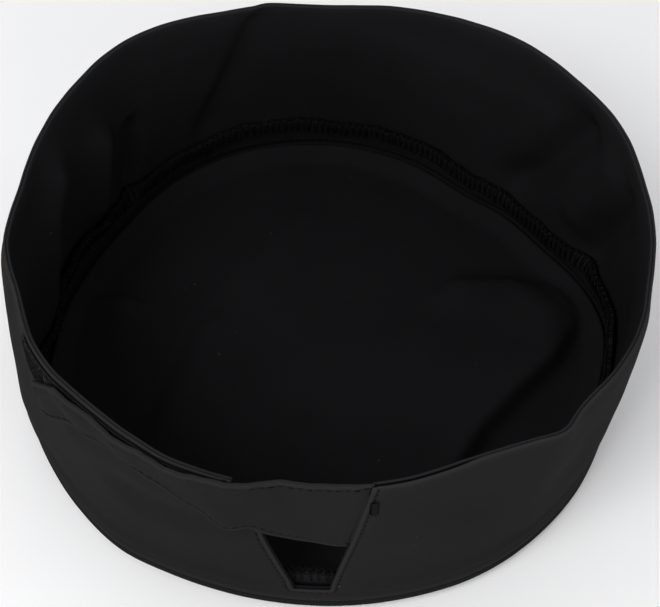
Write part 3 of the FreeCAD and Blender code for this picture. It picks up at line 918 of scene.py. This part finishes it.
def loose_fibres(chance):
    """Short bent ends of fibre that stand off the serging."""
    fibres = []
    for _ in range(700):
        azimuth = chance.uniform(0, 360)
        height = edge_height(azimuth) + chance.uniform(-4.0, 0.4)
        bend = chance.normal(0, 0.5, (2, 3))
        along, up, out = np.array([(0, 0, 0), bend[0], bend[0] + bend[1]]).T
        offset = LACE_INSIDE - np.abs(out) - lean_in(azimuth, height)
        fibres.append(on_wall(azimuth + along / MM_PER_DEGREE, height + up, offset))
    return fibres


def make_overlock():
    """Serging: a thread laced over the raw edges, its needle row, and a few loose ends of fibre."""
    chance = np.random.default_rng(7)
    finish = (SHADED_OVERLOCK_THREAD, "black_thread")
    piece = threads("crown_overlock_stitches", overlock_paths(chance), 0.3, *finish, closed=True)
    row = make_needle_row()
    fibres = threads("crown_overlock_fibres", loose_fibres(chance), 0.05, *finish, sides=3)
    for extra in (row, fibres):
        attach(extra, "hat")
    return on_hat(piece, "crown_overlock_thread")


# ---- Adjuster tab

TAB_TIP = -142.0
TAB_LOW = [
    (-78, 37.6), (-83, 39.4), (-90, 43.9), (-96.5, 48.6), (-100, 51.0), (-103.5, 49.6), (-107, 54.6),
    (-112, 60.3), (-118, 63.6), (-125, 63.6), (-131, 61.0), (-137, 55.6), (-146, 47.0),
]
TAB_TOP = [
    (-78, 75.0), (-84, 75.6), (-92, 76.0), (-100, 76.4), (-112, 75.4), (-124, 74.6), (-146, 74.2),
]
TAB_RISE = [
    (-78, -0.1), (-84, -0.6), (-90, -0.7), (-95, 0.6), (-98, 2.2), (-104, 3.0), (-112, 3.3), (-146, 3.3),
]
TAB_CROSSING = 46.0  # height where the tab's lower edge passes the notch's left edge
TAB_TUCK = 0.5  # how much closer to the band the tab's upper edge lies
TAB_CORNER = (-135.5, 65.5)  # where the tip's cut corner starts along the top, and where it ends down the tip
TAB_CORNER_TOP = 73.0
TAB_MIDDLE = 57.0  # height of the tab's middle line
TAB_RUN = 96.0  # its length along that line
TAB_BEND = 7  # length of its cloth that bends when it is peeled
# Puckers of its cloth: azimuth, height, push outward, and widths in degrees and in millimetres of height.
TAB_PUCKERS = [(-102.0, 52.0, 1.6, 2.6, 6.5), (-107.0, 57.0, -1.1, 2.6, 6.0)]


def laid(points, azimuth):
    """The smooth open curve through (azimuth, value) points that run down in azimuth."""
    at, value = np.array(points[::-1], float).T
    fine = np.linspace(at[0], at[-1], 400)
    line = np.interp(fine, at, value)
    spread = np.exp(-((np.arange(-24, 25) / 10) ** 2))
    padded = np.pad(line, 24, mode="edge")
    return np.interp(azimuth, fine, np.convolve(padded, spread / spread.sum(), "valid"))


def tab_tip(height):
    """Azimuth of the tab's end at a height: straight, then cut across its upper corner."""
    corner_azimuth, corner_height = TAB_CORNER
    cut = np.clip((height - corner_height) / (TAB_CORNER_TOP - corner_height), 0, 1)
    return TAB_TIP + (corner_azimuth - TAB_TIP) * cut


def tab_puff(azimuth, height):
    """How the tab's cloth stands off its smooth shape."""
    puff = 0.22 * np.sin(azimuth * 1.9 + 1) * swell(laid(TAB_TOP, azimuth) - height, 3.0, 2.4)
    for at, up, push, wide, tall in TAB_PUCKERS:
        puff = puff + push * swell(azimuth, at, wide) * swell(height, up, tall)
    return puff + 0.35 * np.sin(azimuth * 0.55 + height * 0.16) * eased(-88, -94, azimuth)


def tab_point(azimuth, height, out):
    """A point of the tab, out from its middle layer."""
    rise = laid(TAB_RISE, azimuth - notch_left(height) + notch_left(TAB_CROSSING))
    rise = rise - TAB_TUCK * eased(2.4, 3.2, rise) * eased(66, 74, height)
    return on_wall(azimuth, height, MID_WALL + rise + tab_puff(azimuth, height) + out)


TAB_EDGE = np.array([0, 0.04, 0.13, 0.28, 0.48, 0.75, 1.1, 1.4, 1.7, 2.0, 2.35, 3.0, 4.0])


def tab_grid(inset=0.0):
    """Azimuth, height and distance from the edge over the tab, from its root to its tip."""
    along = np.concatenate([np.linspace(0, 1, 74)[:-1] * 0.958, 1 - TAB_EDGE[::-1] / TAB_RUN])
    guess = notch_right(TAB_MIDDLE) + (TAB_TIP - notch_right(TAB_MIDDLE)) * along
    low = laid(TAB_LOW, guess)[:, None] + inset
    high = laid(TAB_TOP, guess)[:, None] - inset
    middle = np.linspace(0, 1, 14)[1:-1]
    width = high - low
    from_low = np.concatenate([np.repeat(TAB_EDGE[None], len(along), 0),
                               TAB_EDGE[-1] + (width - 2 * TAB_EDGE[-1]) * middle,
                               width - TAB_EDGE[::-1]], 1)
    height = low + from_low
    root = notch_right(height) + 0.5 / MM_PER_DEGREE
    tip = tab_tip(height) + inset / MM_PER_DEGREE
    azimuth = root + (tip - root) * along[:, None]
    slope = np.gradient(low[:, 0], guess)[:, None] / MM_PER_DEGREE
    from_edge = np.minimum(from_low / np.hypot(1, slope), width - from_low)
    from_tip = (azimuth - tip) * MM_PER_DEGREE
    slant = (TAB_CORNER[0] - TAB_TIP) * MM_PER_DEGREE / (TAB_CORNER_TOP - TAB_CORNER[1])
    from_tip = from_tip / np.where(height > TAB_CORNER[1], math.hypot(1, slant), 1)
    return azimuth, height, np.minimum(from_edge, from_tip), (root - azimuth) * MM_PER_DEGREE


def tab_root_thin(along):
    """The tab is pressed to half its thickness where it enters the notch's edge."""
    return 0.5 + 0.5 * eased(0, 6, along)


def tab_ply(name, sign, node):
    """One ply of the tab, its edge turned in against the other ply's."""
    azimuth, height, distance, along = tab_grid()
    thin = tab_root_thin(along)
    outer = sign * thin * (rounded(distance, TAB_HALF) + stitched(distance, 0.42))
    inner = sign * thin * (0.01 + 0.24 * eased(2.1, 2.6, distance))
    inner = np.where(np.abs(outer) < np.abs(inner), outer * 0.9, inner)
    wear = np.exp(-distance / 0.9)
    piece = layer(name, tab_point, azimuth, height, outer, inner, TWILL, "black_twill", wear)
    return bend_at_root(piece, node)


def bend_at_root(piece, node):
    """Hide the CAD node and bake the piece's transform into its mesh. The tab peels off by bending beside the
    notch's right edge; the ends of that bend are found here, but no bend is made.
    """
    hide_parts(node)
    joint = frame["joints"][0]
    height = joint["pos_m"][2] / MM
    start = tab_point(notch_right(height), height, 0) * MM
    end = tab_point(notch_right(height) - TAB_BEND / MM_PER_DEGREE, height, 0) * MM
    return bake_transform(piece)


def make_tab_interlining():
    azimuth, height, distance, along = tab_grid(inset=2.4)
    half = 0.2 * tab_root_thin(along) * np.clip(distance / 0.3, 0, 1)
    piece = layer("tab_interlining_cloth", tab_point, azimuth, height, half, -half, STIFFENER, "interlining")
    return bend_at_root(piece, "tab_interlining")


def make_tab_stitches():
    """Topstitching inside the tab's edge: along the bottom, round the tip and back along the top."""
    bottom = np.linspace(notch_right(42), TAB_TIP + STITCH_INSET / MM_PER_DEGREE, 90)
    low = np.stack([bottom, laid(TAB_LOW, bottom) + STITCH_INSET], -1)
    end = np.array([(TAB_TIP + STITCH_INSET / MM_PER_DEGREE, TAB_CORNER[1] - 0.6)])
    top = np.linspace(TAB_CORNER[0] + 1.4 * STITCH_INSET / MM_PER_DEGREE, notch_right(73), 90)
    high = np.stack([top, laid(TAB_TOP, top) - STITCH_INSET], -1)
    seam = np.concatenate([low, end, high])

    def place(azimuth, height, lift):
        thin = tab_root_thin((notch_right(height) - azimuth) * MM_PER_DEGREE)
        return tab_point(azimuth, height, thin * (TAB_HALF - 0.42) + lift + 0.06)

    return bend_at_root(sewn("tab_stitches", seam, STITCH_PITCH, place, SHADED_SEWING_THREAD), "tab_topstitch")


def make_tab_root():
    """The tab's raw end, held between the plies."""
    along = np.linspace(-0.5, ROOT_DEPTH, 40)[:, None]
    height = np.linspace(ROOT_LOW - ROOT_BELOW, ROOT_HIGH + ROOT_ABOVE, 24)
    azimuth = notch_right(height) + along / MM_PER_DEGREE
    edge = np.minimum(np.minimum(height - height[0], height[-1] - height), ROOT_DEPTH - along)
    half = 0.3 * np.clip(edge / 0.4, 0, 1)
    front, back = MID_WALL + half, MID_WALL - half
    piece = layer("tab_root_cloth", on_wall, azimuth, height, front, back, TWILL, "black_twill")
    return on_hat(piece, "tab_root")


def zigzag(azimuth, low, high, width, passes, offset):
    """A dense bar of thread laid to and fro."""
    steps = np.arange(passes * 4 + 1)
    height = low + (high - low) * steps / steps[-1]
    across = width / 2 * np.array([-1, -0.55, 0, 0.55, 1, 0.55, 0, -0.55])[steps % 8] / MM_PER_DEGREE
    raised = np.array([-0.15, 0.16, 0.24, 0.16, -0.15, 0.1, 0.18, 0.1])[steps % 8]
    return on_wall(azimuth + across, height, offset + raised)


def make_bartack():
    middle = notch_right(BARTACK_LOW) + 3.0 / MM_PER_DEGREE
    paths = [zigzag(middle, BARTACK_LOW + 1, BARTACK_HIGH - 1, 2.2, 19, 0.18)]
    piece = threads("tab_root_bartack_threads", paths, 0.2, SHADED_SEWING_THREAD, "black_thread")
    return on_hat(piece, "tab_root_bartack")


def make_notch_stitches():
    """One line of edge stitching down, round and up the notch."""
    height = np.linspace(RIM_HEIGHT - 0.8, NOTCH_FLOOR, 60)
    inset = STITCH_INSET / MM_PER_DEGREE
    left = np.stack([notch_left(height) - inset, height], -1)
    right = np.stack([notch_right(height) + inset, height], -1)[::-1]
    low = NOTCH_FLOOR - STITCH_INSET
    start, end = notch_left(NOTCH_FLOOR), notch_right(NOTCH_FLOOR)
    floor = [(start - 0.5 * inset, low + 0.5), (start + 0.4, low), (end - 0.4, low),
             (end + 0.5 * inset, low + 0.5)]
    seam = np.concatenate([left, floor, right])

    def place(azimuth, height, lift):
        face = seam_ridges(height) + 0.3 * root_room(azimuth, height) - 0.5 - MID_WALL
        return on_wall(azimuth, height, MID_WALL + face * pressed(height, STITCH_INSET) + lift + 0.06)

    return on_hat(sewn("notch_stitches", seam, STITCH_PITCH, place, SHADED_SEWING_THREAD), "notch_topstitch")


# ---- Hook-and-loop tapes

def rectangle(azimuths, heights, columns, rows):
    """A rectangle's grid in azimuth and height, with the distance from its edge."""
    azimuth = np.linspace(*azimuths, columns)[:, None]
    share = np.linspace(0, 1, rows)[None]
    low, high = heights(azimuth)
    height = low + (high - low) * share
    from_side = np.minimum(np.abs(azimuth - azimuths[0]), np.abs(azimuths[1] - azimuth)) * MM_PER_DEGREE
    edge = np.minimum(np.minimum(height - low, high - height), from_side)
    return np.broadcast_to(azimuth, height.shape), height, edge


def make_tape(name, azimuths, heights, surface, sign, finish, slot, body, node):
    """A tape's ground. surface(azimuth, height, out) is the cloth that it is sewn to."""
    azimuth, height, edge = rectangle(azimuths, heights, 60, 22)
    top = sign * (0.02 + TAPE_GROUND * np.clip(edge / 0.25, 0, 1))
    piece = layer(name, surface, azimuth, height, top, sign * 0.02, finish, slot)
    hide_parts(node)
    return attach(piece, body)


def tape_stitches(name, azimuths, heights, surface, sign, body, node):
    inset = 0.8
    start, end = azimuths
    step = math.copysign(inset / MM_PER_DEGREE, end - start)
    run = np.linspace(start + step, end - step, 50)
    low, high = heights(run)
    seam = np.concatenate([np.stack([run, low + inset], -1), np.stack([run, high - inset], -1)[::-1]])
    seam = np.concatenate([seam, seam[:1]])

    def place(azimuth, height, lift):
        return surface(azimuth, height, sign * (TAPE_GROUND + 0.02 + lift))

    piece = sewn(name, seam, 2.2, place, SHADED_SEWING_THREAD, 0.16)
    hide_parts(node)
    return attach(piece, body)


def make_pile(name, azimuths, heights, surface, sign, spacing, shape, radius, finish, slot, body, seed):
    """A field of small bent threads. shape gives each one's (across, up, out) points in millimetres."""
    chance = np.random.default_rng(seed)
    border = 1.5
    start, end = sorted(azimuths)
    paths = []
    inset, step = border / MM_PER_DEGREE, spacing / MM_PER_DEGREE
    for azimuth in np.arange(start + inset, end - inset, step):
        low, high = heights(azimuth)
        for height in np.arange(low + border, high - border, spacing):
            jitter = chance.normal(0, 0.22 * spacing, 2)
            turn = chance.uniform(0, 2 * math.pi)
            grown = chance.uniform(0.8, 1.15)
            points = np.array(shape(chance)) * grown
            across = points[:, 0] * math.cos(turn) - points[:, 1] * math.sin(turn) + jitter[0]
            up = points[:, 0] * math.sin(turn) + points[:, 1] * math.cos(turn) + jitter[1]
            paths.append(surface(azimuth + across / MM_PER_DEGREE, height + up,
                                 sign * (TAPE_GROUND + points[:, 2])))
    piece = threads(name, paths, radius, finish, slot, sides=3)
    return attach(piece, body)


def loop_shape(chance):
    """A springy little loop, leaning its own way."""
    lean = chance.normal(0, 0.16)
    return [(-0.22, 0, -0.05), (-0.3, lean * 0.4, 0.22), (-0.1, lean, PILE * 0.9), (0.12, lean, PILE),
            (0.3, lean * 0.4, 0.25), (0.2, 0, -0.05)]


def hook_shape(_):
    """A stiff stem bent over at its tip."""
    return [(0, 0, -0.05), (0, 0, 0.3), (0.06, 0, 0.46), (0.2, 0, 0.5), (0.27, 0, 0.36)]


LOOP_SPAN = (-104.0, -148.0)
HOOK_SPAN = (-116.0, -139.0)


def loop_heights(azimuth):
    return LOOP_LOW + 2.0 + 0 * azimuth, LOOP_HIGH + 1.1 + 0 * azimuth


def hook_heights(azimuth):
    return laid(TAB_LOW, azimuth) + 1.4, laid(TAB_TOP, azimuth) - 1.6


def tab_inside(azimuth, height, out):
    return tab_point(azimuth, height, out - TAB_HALF)


def make_tapes():
    loop = (LOOP_SPAN, loop_heights, on_wall, 1)
    hook = (HOOK_SPAN, hook_heights, tab_inside, -1)
    make_tape("loop_tape_ground", *loop, LOOP_FINISH, "loop_tape", "hat", "loop_tape")
    make_tape("hook_tape_ground", *hook, HOOK_FINISH, "hook_tape", "tab", "hook_tape")
    tape_stitches("loop_tape_stitches", *loop, "hat", "loop_tape_stitch")
    tape_stitches("hook_tape_stitches", *hook, "tab", "hook_tape_stitch")
    make_pile("loop_tape_pile", *loop, 0.62, loop_shape, 0.055, LOOP_FINISH, "loop_tape", "hat", 11)
    make_pile("hook_tape_pile", *hook, 0.95, hook_shape, 0.09, HOOK_FINISH, "hook_tape", "tab", 12)


# ---- The hat

outer_band = band_ply("outer_band_cloth", False, TWILL, "outer_band")
lining = band_ply("band_lining_cloth", True, SHADED_TWILL, "band_lining")
interlining = make_interlining()
crown = make_crown()
make_seam_stitches()
make_overlock()
tab_outer = tab_ply("tab_outer_cloth", 1, "tab_outer_ply")
tab_inner = tab_ply("tab_inner_cloth", -1, "tab_inner_ply")
tab_interlining = make_tab_interlining()
make_tab_stitches()
tab_root = make_tab_root()
make_bartack()
make_notch_stitches()
make_tapes()


# ---- Flat sizes of the cut cloth

def cut(piece, width, length, held, rests_on, area=None):
    """Take a sheet and the size it was cut to, in millimetres, and do nothing further with them."""
    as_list(rests_on)


ROUND = 2 * math.pi * HAT_RADIUS
ALLOWANCE = ALLOWANCE_TOP - TURN_HEIGHT
BAND_CUT = (RIM_HEIGHT - TURN_HEIGHT) + (RIM_HEIGHT - HEM_LOW) + ALLOWANCE
CROWN_CUT = 2 * (HAT_RADIUS + ALLOWANCE)
TAB_LENGTH = (notch_right(RIM_HEIGHT) - TAB_TIP) * MM_PER_DEGREE
TAB_WIDTH = TAB_TOP[0][1] - TAB_LOW[0][1]
TAB_TIP_WIDTH = 13.6  # between the tab's lower edge and its cut corner
TAB_AREA = TAB_LENGTH * (TAB_WIDTH + TAB_TIP_WIDTH) / 2
INTERLINING_HEIGHT = HEM_LOW - TURN_HEIGHT
ROOT_WIDTH = ROOT_HIGH - ROOT_LOW + ROOT_BELOW + ROOT_ABOVE

cut(outer_band, BAND_CUT, ROUND, "folded", ["crown_cloth"])
cut(lining, BAND_CUT, ROUND, "folded", ["crown_cloth"])
cut(interlining, INTERLINING_HEIGHT, ROUND, "laid", ["outer_band_cloth"])
cut(crown, CROWN_CUT, CROWN_CUT, "laid", [], math.pi / 4 * CROWN_CUT ** 2)
cut(tab_outer, TAB_WIDTH, TAB_LENGTH, "folded", ["outer_band_cloth"], TAB_AREA)
cut(tab_inner, TAB_WIDTH, TAB_LENGTH, "folded", ["outer_band_cloth"], TAB_AREA)
cut(tab_interlining, TAB_WIDTH, TAB_LENGTH, "laid", ["tab_inner_cloth"], 0.85 * TAB_AREA)
cut(tab_root, ROOT_WIDTH, ROOT_DEPTH + 0.5, "laid", ["outer_band_cloth"])


# ---- Floor, light and camera

def make_floor():
    mesh = bpy.data.meshes.new("floor")
    half = 3.0
    corners = [(-half, -half, 0), (half, -half, 0), (half, half, 0), (-half, half, 0)]
    mesh.from_pydata(corners, [], [(0, 1, 2, 3)])
    floor = bpy.data.objects.new("floor", mesh)
    bpy.context.scene.collection.objects.link(floor)
    paint = Paint("pale_floor")
    colour = paint.ramp(paint.noise(paint.place(), 9.0), (0.3, grey(0.90)), (0.7, grey(0.94)))
    floor.data.materials.append(paint.finish(colour, 0.7, 0.2))


def make_world():
    """A pale studio: bright walls round the table and a dimmer ceiling."""
    world = bpy.data.worlds.new("studio")
    bpy.context.scene.world = world
    world.use_nodes = True
    tree = world.node_tree
    background = tree.nodes["Background"]
    direction = tree.nodes.new("ShaderNodeTexCoord")
    split = tree.nodes.new("ShaderNodeSeparateXYZ")
    ramp = tree.nodes.new("ShaderNodeValToRGB")
    ramp.color_ramp.elements[0].position = 0.05
    ramp.color_ramp.elements[0].color = (0.85, 0.85, 0.85, 1)
    ramp.color_ramp.elements[1].position = 0.8
    ramp.color_ramp.elements[1].color = (0.24, 0.24, 0.25, 1)
    tree.links.new(direction.outputs["Generated"], split.inputs[0])
    tree.links.new(split.outputs["Z"], ramp.inputs["Fac"])
    tree.links.new(ramp.outputs["Color"], background.inputs["Color"])
    background.inputs["Strength"].default_value = 1.9


def aim(holder, target, azimuth, elevation, distance):
    """Stand an object off from a target and turn it to face the target."""
    azimuth, elevation = math.radians(azimuth), math.radians(elevation)
    level = math.cos(elevation)
    out = np.array([level * math.cos(azimuth), level * math.sin(azimuth), math.sin(elevation)])
    holder.location = (np.array(target) + out * distance).tolist()
    holder.rotation_mode = "QUATERNION"
    holder.rotation_quaternion = Vector((-out).tolist()).to_track_quat("-Z", "Y")
    bpy.context.scene.collection.objects.link(holder)


def softbox(name, azimuth, elevation, size, power, target_height):
    light = bpy.data.lights.new(name, "AREA")
    light.shape = "RECTANGLE"
    light.size, light.size_y = size
    light.energy = power
    aim(bpy.data.objects.new(name, light), (0, 0, target_height), azimuth, elevation, 0.9)


def make_camera():
    """Behind the notch and well above the rim."""
    data = bpy.data.cameras.new("camera")
    data.lens = 70.07
    data.sensor_width = 36
    data.clip_start = 0.01
    camera = bpy.data.objects.new("camera", data)
    target = np.array([0.41, -8.39, 38.3]) * MM
    aim(camera, target, azimuth=-86.3, elevation=52.72, distance=0.4024)
    bpy.context.scene.camera = camera


make_floor()
make_world()
softbox("front_softbox", azimuth=-75, elevation=14, size=(1.2, 0.4), power=1.5, target_height=0.03)
softbox("upper_softbox", azimuth=-125, elevation=50, size=(0.4, 0.4), power=4.0, target_height=0.04)
make_camera()
bpy.context.scene.view_settings.view_transform = "Standard"
